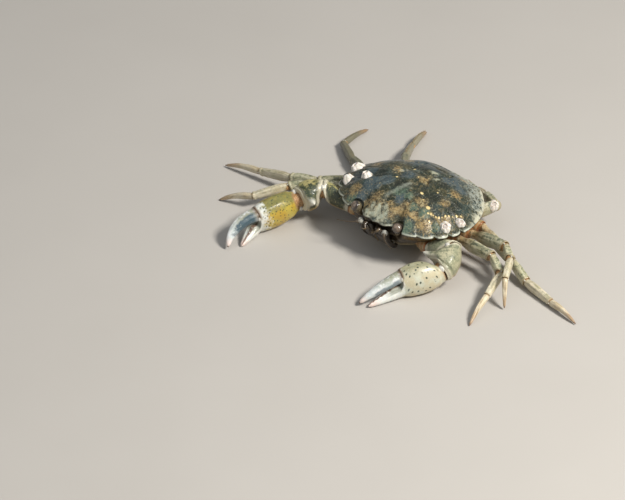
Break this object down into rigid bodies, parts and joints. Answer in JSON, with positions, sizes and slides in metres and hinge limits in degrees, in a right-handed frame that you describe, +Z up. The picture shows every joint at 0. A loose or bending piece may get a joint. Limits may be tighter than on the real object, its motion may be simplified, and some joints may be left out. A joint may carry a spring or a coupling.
{
  "type": "shore crab",
  "caption": "Life-size still model of a shore crab, crouching with both claws lowered and its legs spread, with barnacles on its shell.",
  "frame": {"origin": "middle of the object's box, on the ground that it stands on", "axes": "the crab faces -Y, its left side is towards +X, and +Z is up"},
  "size_m": [0.1684, 0.1126, 0.0264],
  "materials": {
    "carapace_shell": "wet, mottled dark green, grey-blue and ochre shell",
    "underside_shell": "wet ochre and olive shell",
    "mouth_shell": "wet dark brown shell",
    "eye": "glossy dark grey-brown",
    "claw_arm": "wet olive and cream shell",
    "palm_left": "wet cream shell with dark green dots",
    "palm_right": "wet yellow shell with dark green dots",
    "claw_finger": "white shell with a teal stripe",
    "leg_upper": "wet olive shell mottled with green",
    "leg_lower": "wet cream shell",
    "leg_tip": "horny pinkish brown"
  },
  "bodies": {
    "root": {"carapace": "carapace_shell", "thorax": "underside_shell", "abdomen": "underside_shell", "maxilliped_left": "mouth_shell", "eye_left": "eye", "eyestalk_left": "mouth_shell", "antenna_left": "mouth_shell", "claw_left_merus": "claw_arm", "claw_left_carpus": "claw_arm", "claw_left_palm": "palm_left", "claw_left_dactylus": "claw_finger", "leg2_left_merus": "leg_upper", "leg2_left_carpus": "leg_upper", "leg2_left_propodus": "leg_lower", "leg2_left_dactylus": "leg_tip", "leg3_left_merus": "leg_upper", "leg3_left_carpus": "leg_upper", "leg3_left_propodus": "leg_lower", "leg3_left_dactylus": "leg_tip", "leg4_left_merus": "leg_upper", "leg4_left_carpus": "leg_upper", "leg4_left_propodus": "leg_lower", "leg4_left_dactylus": "leg_tip", "leg5_left_merus": "leg_upper", "leg5_left_carpus": "leg_upper", "leg5_left_propodus": "leg_lower", "leg5_left_dactylus": "leg_tip", "maxilliped_right": "mouth_shell", "eye_right": "eye", "eyestalk_right": "mouth_shell", "antenna_right": "mouth_shell", "claw_right_merus": "claw_arm", "claw_right_carpus": "claw_arm", "claw_right_palm": "palm_right", "claw_right_dactylus": "claw_finger", "leg2_right_merus": "leg_upper", "leg2_right_carpus": "leg_upper", "leg2_right_propodus": "leg_lower", "leg2_right_dactylus": "leg_tip", "leg3_right_merus": "leg_upper", "leg3_right_carpus": "leg_upper", "leg3_right_propodus": "leg_lower", "leg3_right_dactylus": "leg_tip", "leg4_right_merus": "leg_upper", "leg4_right_carpus": "leg_upper", "leg4_right_propodus": "leg_lower", "leg4_right_dactylus": "leg_tip", "leg5_right_merus": "leg_upper", "leg5_right_carpus": "leg_upper", "leg5_right_propodus": "leg_lower", "leg5_right_dactylus": "leg_tip"}
  },
  "joints": []
}
